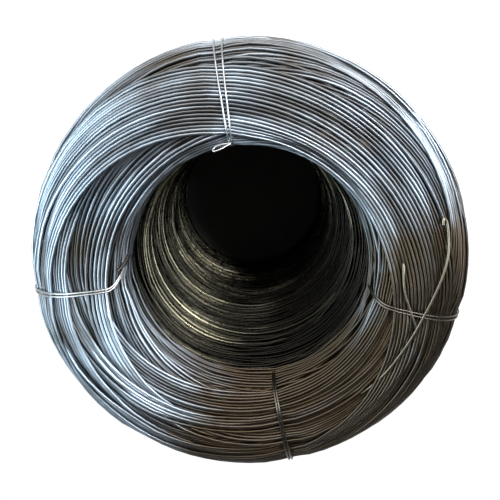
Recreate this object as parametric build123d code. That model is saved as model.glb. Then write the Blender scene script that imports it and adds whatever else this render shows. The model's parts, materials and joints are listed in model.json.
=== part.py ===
"""A coil of binding wire, stood on its end: one bundle of wound turns, held by four doubled tie wires."""
import os
from math import asin, degrees

from build123d import *

# The coil
wire_diameter = 2.8
coil_outer_diameter = 430.0
bore_diameter = 230.0
coil_height = 500.0
inner_shoulder_radius = 25.0
crown_width = 15.0
groove_side_share = 0.45

# The hollows between the bunches that the turns lie in, from the top of each side of the wall to its base
bore_hollow_depth = 7.0
bore_hollow_middle_shares = [0.144, 0.396, 0.727, 0.933]
bore_hollow_half_width_shares = [0.076, 0.111, 0.049, 0.058]
outer_hollow_depth = 4.5
outer_hollow_middle_shares = [0.05, 0.155, 0.27, 0.375, 0.49, 0.6, 0.72, 0.83, 0.945]
outer_hollow_half_width_shares = [0.032, 0.036, 0.03, 0.04, 0.034, 0.036, 0.03, 0.038, 0.034]

# The tie wires, each one doubled and drawn tight round the wall of the coil
tie_wire_diameter = 1.6
tie_strand_spacing_share = 0.9
tie_recess = 0.2
tie_clearance = 0.25
right_tie_turn_share = -0.038
back_tie_turn_share = 0.272
left_tie_turn_share = 0.518
front_tie_turn_share = 0.782

bore_radius = bore_diameter / 2
outer_radius = coil_outer_diameter / 2
crown_radius = bore_radius + inner_shoulder_radius + crown_width
outer_shoulder_radius = outer_radius - crown_radius
groove_side = wire_diameter * groove_side_share
tie_strand_spacing = tie_wire_diameter * tie_strand_spacing_share
tie_depth = tie_recess + tie_wire_diameter / 2
seat_depth = tie_recess + tie_wire_diameter + tie_clearance
seat_width = tie_strand_spacing + tie_wire_diameter + 2 * tie_clearance
seat_half_angle = degrees(asin(seat_width / bore_diameter))
tie_angles = {
    "right": right_tie_turn_share * 360,
    "back": back_tie_turn_share * 360,
    "left": left_tie_turn_share * 360,
    "front": front_tie_turn_share * 360,
}


def top_end(inset):
    """The wall's line over its top end, from the bore to the outer side, moved into the wall by inset."""
    bore_edge = (bore_radius + inset, coil_height - inner_shoulder_radius)
    inner_shoulder = JernArc(bore_edge, (0, 1), inner_shoulder_radius - inset, -90)
    crown = Line(inner_shoulder @ 1, (crown_radius, coil_height - inset))
    outer_shoulder = JernArc(crown @ 1, (1, 0), outer_shoulder_radius - inset, -90)
    return Wire([inner_shoulder, crown, outer_shoulder])


def base_end(inset):
    """The same line over the end that stands on the floor."""
    mid_height = Plane.XZ.offset(-coil_height / 2)
    return mirror(top_end(inset), about=mid_height).wire()


def wall_outline(inset):
    """The whole line round the wall's section, moved into the wall by inset."""
    top = top_end(inset)
    base = base_end(inset)
    bore_side = Line(base @ 0, top @ 0)
    outer_side = Line(top @ 1, base @ 1)
    return Wire([*bore_side.edges(), *top.edges(), *outer_side.edges(), *base.edges()])


def side_hollows(side_radius, shoulder_radius, depth, middle_shares, half_width_shares):
    """Round cutters for the hollows in one straight side of the wall; a negative depth cuts towards the bore."""
    side_length = coil_height - 2 * shoulder_radius
    cutters = []
    for middle_share, half_width_share in zip(middle_shares, half_width_shares):
        middle_height = coil_height - shoulder_radius - side_length * middle_share
        half_width = side_length * half_width_share
        reach = (half_width ** 2 + depth ** 2) / (2 * depth)
        cutters.append(Pos(side_radius + depth - reach, middle_height) * Circle(abs(reach)))
    return cutters


def turned(section, start_angle, end_angle):
    """A stretch of the coil's wall: a section of it, turned about the bore's axis between two angles."""
    return Rot(0, 0, start_angle) * revolve(Plane.XZ * section, Axis.Z, end_angle - start_angle)


def wound_coil():
    """The wound turns as one turned solid, with a groove between each two turns that show on its ends.

    Its sides have shallow hollows between bunches of turns. Each tie lies in a seat all the way round the wall,
    where it presses the turns in.
    """
    hollows = [
        *side_hollows(
            bore_radius, inner_shoulder_radius, bore_hollow_depth,
            bore_hollow_middle_shares, bore_hollow_half_width_shares),
        *side_hollows(
            outer_radius, outer_shoulder_radius, -outer_hollow_depth,
            outer_hollow_middle_shares, outer_hollow_half_width_shares),
    ]
    section = make_face(wall_outline(0)) - hollows
    groove = Rot(0, 0, 45) * Rectangle(groove_side, groove_side)
    for end in (top_end(0), base_end(0)):
        turns = round(end.length / wire_diameter)
        shares = [turn / turns for turn in range(1, turns)]
        section -= [Pos(end @ share) * Rot(0, 0, end.tangent_angle_at(share)) * groove for share in shares]
    seat_section = make_face(wall_outline(seat_depth)) - hollows
    angles = sorted(tie_angles.values())
    stretches = []
    for angle, next_angle in zip(angles, angles[1:] + [angles[0] + 360]):
        stretches.append(turned(seat_section, angle - seat_half_angle, angle + seat_half_angle))
        stretches.append(turned(section, angle + seat_half_angle, next_angle - seat_half_angle))
    return stretches[0].fuse(*stretches[1:])


def tie_wire():
    """One tie: two strands side by side, led round the wall through the bore."""
    route = Plane.XZ * wall_outline(tie_depth)
    across = Plane(origin=route @ 0, x_dir=(0, 1, 0), z_dir=route % 0)
    strand = Circle(tie_wire_diameter / 2)
    strands = Pos(tie_strand_spacing / 2, 0) * strand + Pos(-tie_strand_spacing / 2, 0) * strand
    return sweep(across * strands, path=route)


os.makedirs("parts", exist_ok=True)
export_step(wound_coil(), "parts/wire_coil.step")
tie = tie_wire()
for place, angle in tie_angles.items():
    export_step(Rot(0, 0, angle) * tie, f"parts/tie_wire_{place}.step")
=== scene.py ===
import json
import math

import bpy
import numpy as np
from mathutils import Matrix, Vector


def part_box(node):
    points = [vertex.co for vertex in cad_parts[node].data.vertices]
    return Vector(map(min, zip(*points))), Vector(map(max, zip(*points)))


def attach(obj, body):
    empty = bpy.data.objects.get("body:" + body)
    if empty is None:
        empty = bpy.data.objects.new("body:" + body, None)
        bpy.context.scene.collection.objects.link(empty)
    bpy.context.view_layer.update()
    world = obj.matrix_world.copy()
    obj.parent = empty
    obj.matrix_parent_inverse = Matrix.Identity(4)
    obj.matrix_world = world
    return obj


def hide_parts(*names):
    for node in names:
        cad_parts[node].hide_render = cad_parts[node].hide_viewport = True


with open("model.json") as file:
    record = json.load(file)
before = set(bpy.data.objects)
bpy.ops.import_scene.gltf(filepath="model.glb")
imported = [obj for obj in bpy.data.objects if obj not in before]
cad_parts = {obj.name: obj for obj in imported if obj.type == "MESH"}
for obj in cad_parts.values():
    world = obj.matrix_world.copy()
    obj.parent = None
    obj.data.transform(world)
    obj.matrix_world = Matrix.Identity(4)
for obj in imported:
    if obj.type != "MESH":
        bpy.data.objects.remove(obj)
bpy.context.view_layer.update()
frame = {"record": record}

# The heart of the coil: the turns under the ones that show, packed layer on layer as the wire was wound.
# It is the same drawn steel wire, painted nearly black as painted shade, and only its crests are seen,
# down in the gaps between the turns that lie over it.
wire = 0.0028
coil_low, coil_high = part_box("wire_coil")
coil_radius = (coil_high.x - coil_low.x) / 2
coil_height = coil_high.z
bore_mount = next(mount for mount in frame["record"]["mounts"] if mount["name"] == "bore")
bore_radius = bore_mount["dims"]["r_mm"] / 1000
inner_shoulder = 0.025
crown_width = 0.015
outer_shoulder = coil_radius - bore_radius - inner_shoulder - crown_width
inner_centre = bore_radius + inner_shoulder
outer_centre = coil_radius - outer_shoulder
shoulder_steps = 32


def shoulder(centre, height, radius, start):
    """One rounded corner of the wall's section: radius, height and outward normal of its points."""
    sweep = np.radians(start - np.linspace(0, 90, shoulder_steps))
    across, up = np.cos(sweep), np.sin(sweep)
    return np.stack([centre + radius * across, height + radius * up, across, up], axis=1)


# The line round the wall's section starts where the bore meets the top shoulder, goes over the top end to the
# outer wall, down it, under the base end and back up the bore.
wall_line = np.concatenate([
    shoulder(inner_centre, coil_height - inner_shoulder, inner_shoulder, 180),
    shoulder(outer_centre, coil_height - outer_shoulder, outer_shoulder, 90),
    shoulder(outer_centre, outer_shoulder, outer_shoulder, 0),
    shoulder(inner_centre, inner_shoulder, inner_shoulder, -90),
])
wall_line = np.concatenate([wall_line, wall_line[:1]])
line_steps = np.hypot(*np.diff(wall_line[:, :2], axis=0).T)
line_along = np.concatenate([[0], np.cumsum(line_steps)])
line_length = line_along[-1]
end_length = (inner_shoulder + outer_shoulder) * math.pi / 2 + crown_width
outer_length = coil_height - 2 * outer_shoulder
bore_length = coil_height - 2 * inner_shoulder

# The turns lie in bunches, with hollows between them. The middles and half widths of the hollows are shares
# of each side's length, from its top.
bore_hollow_depth = 0.007
bore_hollow_shares = [(0.144, 0.076), (0.396, 0.111), (0.727, 0.049), (0.933, 0.058)]
outer_hollow_depth = 0.0045
outer_hollow_shares = [
    (0.05, 0.032), (0.155, 0.036), (0.27, 0.03), (0.375, 0.04), (0.49, 0.034), (0.6, 0.036), (0.72, 0.03),
    (0.83, 0.038), (0.945, 0.034)]


def hollow_share(below, hollow_shares):
    """How much of the hollows' depth a side has lost, from 0 on a bunch to 1 mid-way between two."""
    share = np.zeros_like(below)
    for middle, half_width in hollow_shares:
        share += np.clip(1 - ((below - middle) / half_width) ** 2, 0, 1)
    return share


def bore_hollows(along):
    """The share of hollow at places in the bore, and none elsewhere."""
    return hollow_share(np.mod(-along, line_length) / bore_length, bore_hollow_shares)


def hollow_depth(along):
    """How far the wall's line falls back in the hollows of both sides."""
    outer_below = (np.mod(along, line_length) - end_length) / outer_length
    outer_hollows = hollow_share(outer_below, outer_hollow_shares)
    return bore_hollow_depth * bore_hollows(along) + outer_hollow_depth * outer_hollows


def wall_places(along, depth, angle):
    """Points at places along the wall's line, sunk into the wall by depth, and the wall's normals there."""
    columns = [np.interp(along, line_along, column, period=line_length) for column in wall_line.T]
    radius, height, across, up = columns
    radius = radius - depth * across
    height = height - depth * up
    round_x, round_y = np.cos(angle), np.sin(angle)
    points = np.stack(np.broadcast_arrays(radius * round_x, radius * round_y, height), axis=-1)
    normals = np.stack(np.broadcast_arrays(across * round_x, across * round_y, up), axis=-1)
    return points, normals


def grid_mesh(name, points, tones, material):
    """A piece of closed grids: each sheet of points is joined to itself both ways, and tones shade it."""
    sheets, rows, columns = points.shape[:3]
    number = np.arange(sheets * rows * columns).reshape(sheets, rows, columns)
    next_row = np.roll(number, -1, axis=1)
    quads = np.stack([number, next_row, np.roll(next_row, -1, axis=2), np.roll(number, -1, axis=2)], axis=-1)
    mesh = bpy.data.meshes.new(name)
    mesh.vertices.add(number.size)
    mesh.vertices.foreach_set("co", points.astype(np.float32).ravel())
    mesh.loops.add(quads.size)
    mesh.loops.foreach_set("vertex_index", quads.astype(np.int32).ravel())
    mesh.polygons.add(quads.size // 4)
    mesh.polygons.foreach_set("loop_start", np.arange(0, quads.size, 4, dtype=np.int32))
    mesh.polygons.foreach_set("use_smooth", np.ones(quads.size // 4, dtype=bool))
    tone = mesh.attributes.new("turn_tone", "FLOAT", "POINT")
    tone.data.foreach_set("value", np.broadcast_to(tones, number.shape).astype(np.float32).ravel())
    mesh.update(calc_edges=True)
    mesh.materials.append(material)
    piece = bpy.data.objects.new(name, mesh)
    bpy.context.scene.collection.objects.link(piece)
    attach(piece, "root")
    return piece


oxide_patch_scale = 9
oxide_patch_detail = 3
shaded_side_reach = 0.13
shaded_side_share = 0.4
oxide_and_shade_start, oxide_and_shade_full = 0.45, 0.75
grain_scale = 160
grain_detail = 4
grain_low, grain_high = 0.3, 0.7
grain_strength = 0.05
grain_height = 0.0002


def steel_material(name, dark, light, brown_and_shade, brown_and_shade_share, shaded_side, roughness):
    """Drawn steel: a grey per turn, oxide patches, brown painted shade towards one side, and an uneven
    finish.
    """
    material = bpy.data.materials.new(name)
    material.use_nodes = True
    nodes, links = material.node_tree.nodes, material.node_tree.links
    shader = nodes["Principled BSDF"]
    shader.inputs["Metallic"].default_value = 1.0
    tone = nodes.new("ShaderNodeAttribute")
    tone.attribute_name = "turn_tone"
    place = nodes.new("ShaderNodeTexCoord")
    greys = nodes.new("ShaderNodeMix")
    greys.data_type = "RGBA"
    greys.inputs["A"].default_value = (*dark, 1)
    greys.inputs["B"].default_value = (*light, 1)
    links.new(tone.outputs["Fac"], greys.inputs["Factor"])
    patches = nodes.new("ShaderNodeTexNoise")
    patches.inputs["Scale"].default_value = oxide_patch_scale
    patches.inputs["Detail"].default_value = oxide_patch_detail
    links.new(place.outputs["Object"], patches.inputs["Vector"])
    # Towards the shaded side the steel gets more brown, as painted shade, on top of its oxide patches.
    across = nodes.new("ShaderNodeVectorMath")
    across.operation = "DOT_PRODUCT"
    across.inputs[1].default_value = shaded_side
    links.new(place.outputs["Object"], across.inputs[0])
    shaded_side_ramp = nodes.new("ShaderNodeMapRange")
    shaded_side_ramp.inputs["From Min"].default_value = 0
    shaded_side_ramp.inputs["From Max"].default_value = shaded_side_reach
    shaded_side_ramp.inputs["To Max"].default_value = shaded_side_share
    links.new(across.outputs["Value"], shaded_side_ramp.inputs["Value"])
    spread = nodes.new("ShaderNodeMath")
    links.new(patches.outputs["Fac"], spread.inputs[0])
    links.new(shaded_side_ramp.outputs["Result"], spread.inputs[1])
    oxide_and_shade_ramp = nodes.new("ShaderNodeMapRange")
    oxide_and_shade_ramp.inputs["From Min"].default_value = oxide_and_shade_start
    oxide_and_shade_ramp.inputs["From Max"].default_value = oxide_and_shade_full
    oxide_and_shade_ramp.inputs["To Max"].default_value = brown_and_shade_share
    links.new(spread.outputs["Value"], oxide_and_shade_ramp.inputs["Value"])
    colour = nodes.new("ShaderNodeMix")
    colour.data_type = "RGBA"
    colour.inputs["B"].default_value = (*brown_and_shade, 1)
    links.new(oxide_and_shade_ramp.outputs["Result"], colour.inputs["Factor"])
    links.new(greys.outputs["Result"], colour.inputs["A"])
    links.new(colour.outputs["Result"], shader.inputs["Base Color"])
    grain = nodes.new("ShaderNodeTexNoise")
    grain.inputs["Scale"].default_value = grain_scale
    grain.inputs["Detail"].default_value = grain_detail
    links.new(place.outputs["Object"], grain.inputs["Vector"])
    finish = nodes.new("ShaderNodeMapRange")
    finish.inputs["From Min"].default_value = grain_low
    finish.inputs["From Max"].default_value = grain_high
    finish.inputs["To Min"].default_value = roughness[0]
    finish.inputs["To Max"].default_value = roughness[1]
    links.new(grain.outputs["Fac"], finish.inputs["Value"])
    links.new(finish.outputs["Result"], shader.inputs["Roughness"])
    relief = nodes.new("ShaderNodeBump")
    relief.inputs["Strength"].default_value = grain_strength
    relief.inputs["Distance"].default_value = grain_height
    links.new(grain.outputs["Fac"], relief.inputs["Height"])
    links.new(relief.outputs["Normal"], shader.inputs["Normal"])
    return material


# The steel's shaded side faces the lower right: brown painted shade lies there.
lower_right_shaded_side = (0.65, -0.76, 0)
heart_depth = 2.4 * wire
heart_steps = 60
heart_tone = 0.2
heart_angles = np.linspace(0, 2 * np.pi, heart_steps, endpoint=False)
heart_rings = 2 * round(line_length / wire)
heart_along = np.linspace(0, line_length, heart_rings, endpoint=False)[:, None]
heart_dips = np.where(np.arange(heart_rings) % 2, wire / 4, 0)[:, None]
heart_points, _ = wall_places(heart_along, heart_depth + heart_dips + hollow_depth(heart_along), heart_angles)
shaded_heart_steel = steel_material(
    "painted_shade_heart_steel", dark=(0.05, 0.05, 0.055), light=(0.12, 0.12, 0.13), brown_and_shade=(0.05, 0.035, 0.022),
    brown_and_shade_share=0.8, shaded_side=lower_right_shaded_side, roughness=(0.45, 0.7))
heart = grid_mesh("coil_heart", heart_points[None], heart_tone, shaded_heart_steel)
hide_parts("wire_coil")

# The turns that show: one drawn steel wire, wound in lays of leaning loops that cross at shallow angles.
# Each later turn rides over the turns it crosses, and the ties press all of them in.
chance = np.random.default_rng(41)
turn_steps = 84
turn_angles = np.linspace(0, 2 * np.pi, turn_steps, endpoint=False)
turn_wave = 0.04 * wire
close_spacing = 1.03 * wire
bunch_spacing = 1.15 * wire
bunch_fill_share = 0.75
crossed_spacing = 1.14 * wire
ridge_spacing = 2.4 * wire
ridge_scatter = 0.010
top_ridge_below_lip = 0.008


def waves(swing, counts, turns):
    """Slow waves round the loops, each with a chance height and place."""
    total = np.zeros((turns, len(turn_angles)))
    for count in counts:
        height = chance.normal(0, swing, (turns, 1)) / math.sqrt(count)
        total += height * np.cos(count * turn_angles + chance.uniform(0, 2 * np.pi, (turns, 1)))
    return total


def lay(first, turns, spacing, lean, lean_angle, lay_wave=0.001, bunch_wave=0.0006, fan=0):
    """Turns laid side by side, as places along the wall's line: loops that lean one way, in bunches of a few.

    With a fan each turn leans less than the one before, so that they draw together where they lean outwards.
    """
    bunch = np.repeat(np.arange(turns), chance.integers(3, 8, turns))[:turns]
    turn = np.arange(turns)[:, None]
    turn_lean = lean - fan * turn / turns
    along = first + spacing * turn + turn_lean * np.cos(turn_angles - math.radians(lean_angle))
    along = along + waves(lay_wave, (2, 3, 4), 1)
    along = along + waves(bunch_wave, (1, 2, 3), turns)[bunch]
    return along + waves(turn_wave, (1, 2, 3), turns)


def side_lays(start, length, bunch_edges):
    """One lay over a whole side of the wall, then one across it on each bunch, which leans its own way."""
    turns = round(length / close_spacing)
    lays = [lay(start, turns, length / turns, lean=0.002, lean_angle=30, bunch_wave=0.0005)]
    for low, high in zip(bunch_edges, bunch_edges[1:]):
        bunch_turns = int(bunch_fill_share * (high - low) * length / bunch_spacing)
        first = start + (low + high) / 2 * length - bunch_turns / 2 * bunch_spacing
        lays.append(lay(
            first, bunch_turns, bunch_spacing, lean=chance.uniform(0.002, 0.006),
            lean_angle=chance.uniform(0, 360), lay_wave=0.0012, bunch_wave=0.0014))
    return lays


def stray_lays(count, nearest, farthest):
    """Small close lays, which lean this way and that in turn and cross in fans."""
    lays = []
    for number, first in enumerate(chance.permutation(np.linspace(nearest, farthest, count))):
        lean_angle = chance.uniform(110, 165) if number % 2 else chance.uniform(240, 290)
        lays.append(lay(
            first, turns=int(chance.integers(5, 11)), spacing=wire * chance.uniform(1.08, 1.25),
            lean=chance.uniform(0.006, 0.022), lean_angle=lean_angle, fan=chance.uniform(-0.006, 0.006)))
    return lays


def crossed_lays(count, nearest, farthest):
    """Close lays of six or seven turns, which lean two ways in turn and cross each other."""
    lays = []
    for number, first in enumerate(np.linspace(nearest, farthest, count)):
        lean_angle = (130 if number % 2 else 310) + chance.uniform(-20, 20)
        lays.append(lay(
            first, turns=int(chance.integers(6, 8)), spacing=crossed_spacing,
            lean=chance.uniform(0.012, 0.022), lean_angle=lean_angle, fan=chance.uniform(-0.005, 0.005)))
    return lays


def bore_ridges(count):
    """Narrow lays of two to four turns that stand out from the bore's wall, all the way down it."""
    lays = []
    for first in np.linspace(-bore_length, -top_ridge_below_lip, count, endpoint=False):
        lays.append(lay(
            first + chance.uniform(0, ridge_scatter), turns=int(chance.integers(2, 5)), spacing=ridge_spacing,
            lean=chance.uniform(0.002, 0.008), lean_angle=chance.uniform(0, 360)))
    return lays


turn_slack = 0.35 * wire
strip_width = 1.5 * wire
settled_depth = 0.9 * wire
settled_share = 0.4
hidden_depth = 1.6 * wire


def neighbours(values, reach, axis):
    """Each value with its neighbours on both sides along one axis."""
    return np.stack([np.roll(values, step, axis=axis) for step in range(-reach, reach + 1)])


def bridged(values, reach, axis):
    """A stiff line over crests: no lower than any of them, and smooth over its reach."""
    return neighbours(neighbours(values, reach, axis).max(axis=0), reach, axis).mean(axis=0)


def stacked_depths(along):
    """How deep each turn lies under the wall's line, when each rides over the turns laid before it."""
    lift = np.zeros_like(along)
    for turn in range(1, len(along)):
        gap = np.mod(along[:turn] - along[turn] + line_length / 2, line_length) - line_length / 2
        share = 1 - (gap / wire) ** 2
        ride = wire * np.sqrt(np.clip(share, 0, 1))
        crests = np.where(share > 0, lift[:turn] + ride, 0).max(axis=0)
        lift[turn] = bridged(crests, reach=2, axis=0)
    strips = round(line_length / strip_width)
    row = np.mod(along, line_length) / line_length * strips
    column = np.broadcast_to(np.arange(along.shape[1]), along.shape)
    top = np.zeros((strips, along.shape[1]))
    np.maximum.at(top, (row.astype(int) % strips, column), lift)
    top = neighbours(bridged(top, reach=1, axis=1), reach=1, axis=0).mean(axis=0)
    below = np.floor(row - 0.5).astype(int)
    share = row - 0.5 - below
    level = (1 - share) * top[below % strips, column] + share * top[(below + 1) % strips, column]
    deep = np.clip(level + turn_slack - lift, 0, None)
    return np.minimum(deep, settled_depth + settled_share * (deep - settled_depth))


bore_mouth_reach = 0.06
tie_half_press = math.radians(3.2)
tie_press = 0.0021
tie_angles = {}
for tie_place in ("back", "left", "front", "right"):
    tie_low, tie_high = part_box(f"tie_wire_{tie_place}")
    tie_middle = (tie_low + tie_high) / 2
    tie_angles[tie_place] = math.atan2(tie_middle.y, tie_middle.x)


def bore_share(along):
    """How far into the bore a place is, from 0 at its mouths to 1 well inside."""
    below = np.mod(-along, line_length)
    share = np.clip(np.minimum(below, bore_length - below) / bore_mouth_reach, 0, 1)
    return share * share * (3 - 2 * share)


# Two loose lengths of the wire lie over the turns on the right: a free end, hooked at its tip, and a turn
# that has slipped inwards. Each place is an angle in degrees, a place along the wall's line and a depth.
free_end_places = [
    (312, 0.056, 0.0050), (324, 0.0566, 0.0016), (331, 0.057, 0.0014), (337, 0.0588, 0.0013),
    (345.5, 0.0618, 0.0010), (352.5, 0.0666, 0.0002), (357.5, 0.0707, -0.0008), (363, 0.0758, -0.0012),
    (367, 0.0793, -0.0012), (370, 0.0803, -0.0012), (373.5, 0.0816, -0.0012), (376, 0.0815, -0.0012),
    (377, 0.0790, -0.0010), (375, 0.0775, -0.0008)]
slipped_places = [
    (336, 0.070, 0.0050), (341.8, 0.0593, 0.0014), (344.8, 0.0531, 0.0014), (348.2, 0.0471, 0.0014),
    (352.5, 0.0408, 0.0014), (357.8, 0.0377, 0.0014), (362, 0.0374, 0.0016), (367, 0.0378, 0.0060),
    (374, 0.0385, 0.0080)]
sunk_under = 0.6 * wire
give_reach = 1.3 * wire


def pressed_under(along, places):
    """How far turns give way where a loose length lies over them, and not where it goes in under them."""
    angle, middle, depth = np.array(places).T
    turn_degrees = np.degrees(turn_angles)
    turn_degrees = np.where(turn_degrees < 180, turn_degrees + 360, turn_degrees)
    rising = np.arange(len(angle)) <= angle.argmax()
    over = np.interp(turn_degrees, angle[rising], middle[rising])
    sunk = np.interp(turn_degrees, angle[rising], depth[rising])
    shown = (turn_degrees > angle[1]) & (turn_degrees < angle.max()) & (sunk < sunk_under)
    return shown * np.clip(sunk + wire / 2, 0, None) * np.exp(-((along - over) / give_reach) ** 2)


dullest_tone = 0.25
# Turns in the bore's hollows and turns that lie under others are painted darker, as painted shade.
hollow_shade_share = 0.97
covered_shade_share = 0.88
covered_from_wires = 0.45
covered_over_wires = 0.6


def wire_turns(name, along, depth, sides, darkening_power, material):
    """One piece of joined turns, each a tube of the wire's thickness. A higher power paints more turns dark,
    as painted shade.
    """
    press = np.zeros_like(turn_angles)
    for tie_angle in tie_angles.values():
        off = np.angle(np.exp(1j * (turn_angles - tie_angle)))
        press = np.maximum(press, tie_press * np.exp(-(off / tie_half_press) ** 2))
    press = press * (1 - bore_share(along))
    for places in (free_end_places, slipped_places):
        press = np.maximum(press, pressed_under(along, places))
    middle, normal = wall_places(along, depth + wire / 2 + press + hollow_depth(along), turn_angles)
    forward = np.roll(middle, -1, axis=1) - np.roll(middle, 1, axis=1)
    forward /= np.linalg.norm(forward, axis=-1, keepdims=True)
    outward = normal - (normal * forward).sum(axis=-1, keepdims=True) * forward
    outward /= np.linalg.norm(outward, axis=-1, keepdims=True)
    sideways = np.cross(forward, outward)
    spin = np.linspace(0, 2 * np.pi, sides, endpoint=False)[:, None]
    ring = np.cos(spin) * outward[:, :, None] + np.sin(spin) * sideways[:, :, None]
    # Painted shade: turns lying under others and turns in the bore's hollows get darker tones.
    covered = np.clip((depth / wire - covered_from_wires) / covered_over_wires, 0, 1)
    tones = chance.uniform(dullest_tone, 1, (len(along), 1)) ** darkening_power
    tones = tones * (1 - hollow_shade_share * bore_hollows(along)) * (1 - covered_shade_share * covered)
    piece = grid_mesh(name, middle[:, :, None] + wire / 2 * ring, tones[:, :, None], material)


bore_bunch_edges = [0, *(1 - middle for middle, _ in reversed(bore_hollow_shares)), 1]
outer_bunch_edges = [0, *(middle for middle, _ in outer_hollow_shares), 1]
base_bunch_edges = [0, 0.35, 0.65, 1]
lays = [
    *side_lays(-bore_length, bore_length, bore_bunch_edges),
    *bore_ridges(count=26),
    *side_lays(end_length, outer_length, outer_bunch_edges),
    *side_lays(end_length + outer_length, end_length, base_bunch_edges),
    lay(first=0.000, turns=51, spacing=0.0029, lean=0.003, lean_angle=200, bunch_wave=0.0005),
    *stray_lays(count=13, nearest=0.000, farthest=0.125),
    lay(first=0.121, turns=5, spacing=0.0032, lean=0.028, lean_angle=185),
    lay(first=0.095, turns=6, spacing=0.0033, lean=0.018, lean_angle=310),
    lay(first=-0.034, turns=11, spacing=0.0050, lean=0.008, lean_angle=20),
    *crossed_lays(count=6, nearest=0.006, farthest=0.092),
    lay(first=0.055, turns=19, spacing=0.0032, lean=0.045, lean_angle=230, bunch_wave=0.0005, fan=0.007),
]
all_along = np.concatenate(lays)
all_depth = stacked_depths(all_along)
showing = (all_depth < hidden_depth).any(axis=1)
all_along, all_depth = all_along[showing], all_depth[showing]
wire_steel = steel_material(
    "drawn_wire_steel", dark=(0.055, 0.066, 0.08), light=(0.70, 0.81, 0.93), brown_and_shade=(0.080, 0.056, 0.032),
    brown_and_shade_share=0.95, shaded_side=lower_right_shaded_side, roughness=(0.34, 0.46))
# In the bore the brown painted shade is near black and lies on the right-hand wall.
bore_shaded_side = (0.75, -0.55, 0)
bore_steel = steel_material(
    "oxidised_and_shaded_bore_steel", dark=(0.03, 0.029, 0.024), light=(0.9, 0.84, 0.6), brown_and_shade=(0.018, 0.016, 0.014),
    brown_and_shade_share=0.95, shaded_side=bore_shaded_side, roughness=(0.24, 0.34))
bore_mouth_length = 0.033
stretch_ends = {
    "bore_lower_turns": -bore_length / 2,
    "bore_upper_turns": -bore_mouth_length,
    "bore_mouth_turns": 0,
    "top_end_turns": end_length,
    "outer_wall_upper_turns": end_length + outer_length / 2,
    "outer_wall_lower_turns": end_length + outer_length,
    "base_end_turns": line_length,
}
usual_tube_sides = 6
tube_sides = {"top_end_turns": 7, "bore_lower_turns": 5}
# Down the bore most turns get dark tones, as painted shade.
bore_shade_power = 2.5
middle_along = np.mod(all_along.mean(axis=1) + bore_length, line_length) - bore_length
stretch_start = -bore_length
for name, stretch_end in stretch_ends.items():
    chosen = (middle_along >= stretch_start) & (middle_along < stretch_end)
    deep_in_bore = name in ("bore_lower_turns", "bore_upper_turns")
    wire_turns(
        name, all_along[chosen], all_depth[chosen], tube_sides.get(name, usual_tube_sides),
        bore_shade_power if deep_in_bore else 1, bore_steel if deep_in_bore else wire_steel)
    stretch_start = stretch_end

# The tie wires: each a thinner drawn steel wire, doubled, led through the bore and round the wall, and drawn
# tight. Its two strands spread on the outer side and come together at the lip of the bore, where the left
# tie and the right tie are pulled sideways.
tie_wire = 0.0016
tie_sink = 0.0002
tie_bore_cover = 2.4 * wire
tie_steps = 300
lip_spread = 0.0010
outer_spreads = {"back": 0.0045, "left": 0.0018, "front": 0.0016, "right": 0.0022}
lip_swing_degrees = {"back": 0, "left": -11, "front": 0, "right": 3.7}
swing_places = [-0.075, -0.012, -0.006, 0.028]
swing_shares = [0, 1, 1, 0]
tie_steel = steel_material(
    "tie_wire_steel", dark=(0.74, 0.75, 0.77), light=(0.8, 0.8, 0.82), brown_and_shade=(0.10, 0.08, 0.06),
    brown_and_shade_share=0.95, shaded_side=lower_right_shaded_side, roughness=(0.3, 0.42))
tie_along = np.linspace(0, line_length, tie_steps, endpoint=False)
tie_depth = tie_sink + tie_wire / 2 + tie_bore_cover * bore_share(tie_along) + hollow_depth(tie_along)
outside_length = line_length - bore_length
from_lip = np.minimum(tie_along, outside_length - tie_along)
spread_share = np.clip(from_lip / end_length, 0, 1)
from_top_lip = np.mod(tie_along + line_length / 2, line_length) - line_length / 2
swing_share = np.interp(from_top_lip, swing_places, swing_shares)
swing_share = swing_share * swing_share * (3 - 2 * swing_share)


def wire_curve(name, paths, closed, thickness, material):
    """A piece of round wires bent along paths."""
    curve = bpy.data.curves.new(name, "CURVE")
    curve.dimensions = "3D"
    curve.bevel_depth = thickness / 2
    curve.bevel_resolution = 2
    curve.use_fill_caps = True
    for path in paths:
        spline = curve.splines.new("POLY")
        spline.points.add(len(path) - 1)
        spline.points.foreach_set("co", np.pad(path, ((0, 0), (0, 1)), constant_values=1).ravel())
        spline.use_cyclic_u = closed
        spline.use_smooth = True
    curve.materials.append(material)
    piece = bpy.data.objects.new(name, curve)
    bpy.context.scene.collection.objects.link(piece)
    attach(piece, "root")
    return piece


for tie_place, tie_angle in tie_angles.items():
    spread = lip_spread + (outer_spreads[tie_place] - lip_spread) * spread_share
    turned = tie_angle + math.radians(lip_swing_degrees[tie_place]) * swing_share
    middle_points, _ = wall_places(tie_along, tie_depth, turned)
    spread_angle = spread / np.hypot(middle_points[:, 0], middle_points[:, 1])
    strands = []
    for side in (-1, 1):
        points, _ = wall_places(tie_along, tie_depth, turned + side * spread_angle)
        strands.append(points)
    tie = wire_curve(f"tie_strands_{tie_place}", strands, True, tie_wire, tie_steel)
    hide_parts(f"tie_wire_{tie_place}")

# The ends of two ties: one is bent to an eye at the lip of the bore, and one is twisted up in a short dark
# tail that lies on the shoulder. They are the same tie wire.
eye_along = 0.015
eye_middle_degrees = 4.2
eye_half_length_degrees = 4.0
eye_rise = 0.0040
eye_half_height = 0.0032
eye_taper_share = 0.38
eye_steps = 28
eye_round = np.linspace(0, 2 * np.pi, eye_steps, endpoint=False)
eye_angle = tie_angles["back"] + np.radians(eye_middle_degrees + eye_half_length_degrees * np.cos(eye_round))
eye_taper = 1 - eye_taper_share + eye_taper_share * np.cos(eye_round)
eye_depth = -(eye_rise + eye_half_height * np.sin(eye_round)) * eye_taper
eye_points, _ = wall_places(eye_along, eye_depth, eye_angle)
eye = wire_curve("tie_eye", [eye_points], True, tie_wire, tie_steel)

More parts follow.
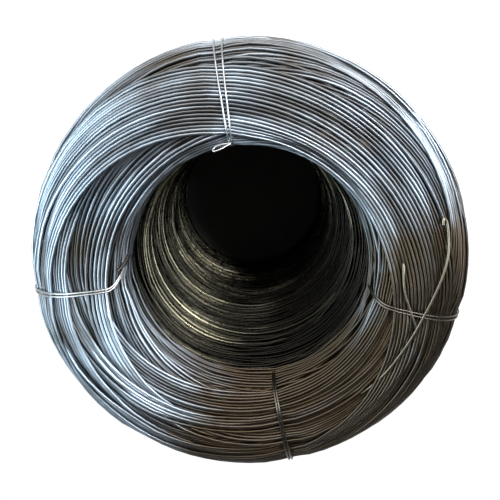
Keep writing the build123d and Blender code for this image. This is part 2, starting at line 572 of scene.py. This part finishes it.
tail_steel = steel_material(
    "tie_tail_steel", dark=(0.10, 0.10, 0.11), light=(0.2, 0.2, 0.21), brown_and_shade=(0.08, 0.06, 0.04),
    brown_and_shade_share=0.6, shaded_side=lower_right_shaded_side, roughness=(0.35, 0.5))
tail_start = -0.003
tail_length = 0.020
tail_twists = 3
tail_start_degrees = 173.6
tail_sweep_degrees = 5.4
tail_rise = 0.3 * tie_wire
tail_strand_radius = 0.55 * tie_wire
tail_steps = 40
tail_share = np.linspace(0, 1, tail_steps)
tail_angle = np.radians(tail_start_degrees + tail_sweep_degrees * tail_share)
tail_strands = []
for phase in (0, np.pi):
    twist = 2 * np.pi * tail_twists * tail_share + phase
    tail_along = tail_start + tail_length * tail_share + tail_strand_radius * np.cos(twist)
    tail_points, _ = wall_places(tail_along, tail_strand_radius * np.sin(twist) - tail_rise, tail_angle)
    tail_strands.append(tail_points)
tail = wire_curve("tie_tail", tail_strands, False, tie_wire, tail_steel)

# The two loose lengths: a pale free end of the coil's own wire, and the turn that has slipped. They are held
# only where they go in between other turns.
bend_roundings = 3
bend_share = 0.25
loose_steel = steel_material(
    "loose_wire_steel", dark=(0.32, 0.30, 0.25), light=(0.4, 0.39, 0.36), brown_and_shade=(0.2, 0.165, 0.12),
    brown_and_shade_share=0.7, shaded_side=lower_right_shaded_side, roughness=(0.3, 0.42))


def loose_wire(name, places):
    """A length of the wire that follows its chosen places, with its bends rounded."""
    line = np.array(places)
    for _ in range(bend_roundings):
        before = (1 - bend_share) * line[:-1] + bend_share * line[1:]
        after = bend_share * line[:-1] + (1 - bend_share) * line[1:]
        line = np.concatenate([line[:1], np.stack([before, after], axis=1).reshape(-1, 3), line[-1:]])
    angle, along, depth = line.T
    points, _ = wall_places(along, depth, np.radians(angle))
    piece = wire_curve(name, [points], False, wire, loose_steel)


loose_wire("free_wire_end", free_end_places)
loose_wire("slipped_turn", slipped_places)

# The floor: a plain pale studio floor with matt paint, which the coil stands on. It shows as white round the
# coil and in the steel, keeps the coil's shadow, and has no glow of its own down in the bore.
floor_half = 6.0
floor_grey = 0.35
floor_roughness = 0.9
floor_glow = 0.8
glow_start_share = 0.9
floor_mesh = bpy.data.meshes.new("studio_floor")
floor_mesh.from_pydata(
    [(-floor_half, -floor_half, 0), (floor_half, -floor_half, 0), (floor_half, floor_half, 0),
     (-floor_half, floor_half, 0)], [], [(0, 1, 2, 3)])
floor = bpy.data.objects.new("studio_floor", floor_mesh)
bpy.context.scene.collection.objects.link(floor)
floor_paint = bpy.data.materials.new("pale_floor_paint")
floor_paint.use_nodes = True
nodes, links = floor_paint.node_tree.nodes, floor_paint.node_tree.links
paint = nodes["Principled BSDF"]
paint.inputs["Base Color"].default_value = (floor_grey, floor_grey, floor_grey, 1)
paint.inputs["Roughness"].default_value = floor_roughness
paint.inputs["Emission Color"].default_value = (1, 1, 1, 1)
ray = nodes.new("ShaderNodeLightPath")
camera_or_glossy = nodes.new("ShaderNodeMath")
camera_or_glossy.operation = "MAXIMUM"
links.new(ray.outputs["Is Camera Ray"], camera_or_glossy.inputs[0])
links.new(ray.outputs["Is Glossy Ray"], camera_or_glossy.inputs[1])
seen = nodes.new("ShaderNodeMath")
seen.operation = "MAXIMUM"
links.new(camera_or_glossy.outputs["Value"], seen.inputs[0])
links.new(ray.outputs["Is Transmission Ray"], seen.inputs[1])
floor_place = nodes.new("ShaderNodeTexCoord")
from_axis = nodes.new("ShaderNodeVectorMath")
from_axis.operation = "LENGTH"
links.new(floor_place.outputs["Object"], from_axis.inputs[0])
round_coil = nodes.new("ShaderNodeMapRange")
round_coil.inputs["From Min"].default_value = glow_start_share * coil_radius
round_coil.inputs["From Max"].default_value = coil_radius
round_coil.inputs["To Max"].default_value = floor_glow
links.new(from_axis.outputs["Value"], round_coil.inputs["Value"])
glow = nodes.new("ShaderNodeMath")
glow.operation = "MULTIPLY"
links.new(seen.outputs["Value"], glow.inputs[0])
links.new(round_coil.outputs["Result"], glow.inputs[1])
links.new(glow.outputs["Value"], paint.inputs["Emission Strength"])
floor_mesh.materials.append(floor_paint)


# The light: four soft lamps low round the left, top and right of the picture, nearly white and a little cool
# on the left, and a small one higher up at the upper right, which reaches down the bore. The air is dim and
# slightly warm.
def soft_light(name, azimuth, elevation, distance, size, power, colour):
    """A square soft light that faces the coil's top end, placed by its angles about it."""
    turn, rise = math.radians(azimuth), math.radians(elevation)
    towards = Vector((math.cos(turn) * math.cos(rise), math.sin(turn) * math.cos(rise), math.sin(rise)))
    light = bpy.data.lights.new(name, "AREA")
    light.size = size
    light.energy = power
    light.color = colour
    lamp = bpy.data.objects.new(name, light)
    lamp.location = Vector((0, 0, coil_height)) + distance * towards
    lamp.rotation_mode = "QUATERNION"
    lamp.rotation_quaternion = (-towards).to_track_quat("-Z", "Y")
    lamp.visible_camera = False
    bpy.context.scene.collection.objects.link(lamp)


soft_light(
    "left_light", azimuth=194, elevation=36, distance=0.8, size=0.6, power=6.7,
    colour=(0.78, 0.93, 1.0))
soft_light(
    "upper_left_light", azimuth=126, elevation=33, distance=0.85, size=0.8, power=5.0,
    colour=(0.97, 0.99, 1.0))
soft_light(
    "upper_light", azimuth=84, elevation=30, distance=0.85, size=0.75, power=5.6,
    colour=(1.0, 0.97, 0.93))
soft_light(
    "right_light", azimuth=13, elevation=43, distance=0.85, size=0.5, power=5.8,
    colour=(0.92, 0.97, 1.0))
soft_light(
    "bore_light", azimuth=42, elevation=54, distance=0.95, size=0.15, power=4.4,
    colour=(1.0, 0.98, 0.95))
air_colour = (1.0, 0.93, 0.84, 1)
air_strength = 0.045
world = bpy.data.worlds.new("studio_air")
world.use_nodes = True
world.node_tree.nodes["Background"].inputs["Color"].default_value = air_colour
world.node_tree.nodes["Background"].inputs["Strength"].default_value = air_strength
bpy.context.scene.world = world
bpy.context.scene.view_settings.view_transform = "Standard"

# The camera: it looks down on the top end of the coil from beside the bore's axis, as the photo does.
# Its lens, tilt and shift are in the photo's pixels, fitted to the outlines of the coil and of the bore.
picture_side = 500
focal_pixels = 540
tilt_pixels = 95
shift_x_pixels = -5
shift_y_pixels = -40
camera_place = (0.0048, 0.142, 0.966)
camera_tilt = math.atan2(tilt_pixels, focal_pixels)
camera_data = bpy.data.cameras.new("camera")
camera_data.sensor_width = 36
camera_data.lens = focal_pixels / picture_side * camera_data.sensor_width
camera_data.shift_x = shift_x_pixels / picture_side
camera_data.shift_y = shift_y_pixels / picture_side
camera = bpy.data.objects.new("camera", camera_data)
right = Vector((1, 0, 0))
forward = Vector((0, -math.sin(camera_tilt), -math.cos(camera_tilt)))
up = right.cross(forward)
camera_turn = Matrix((right, up, -forward)).transposed().to_4x4()
camera.matrix_world = Matrix.Translation(camera_place) @ camera_turn
bpy.context.scene.collection.objects.link(camera)
bpy.context.scene.camera = camera
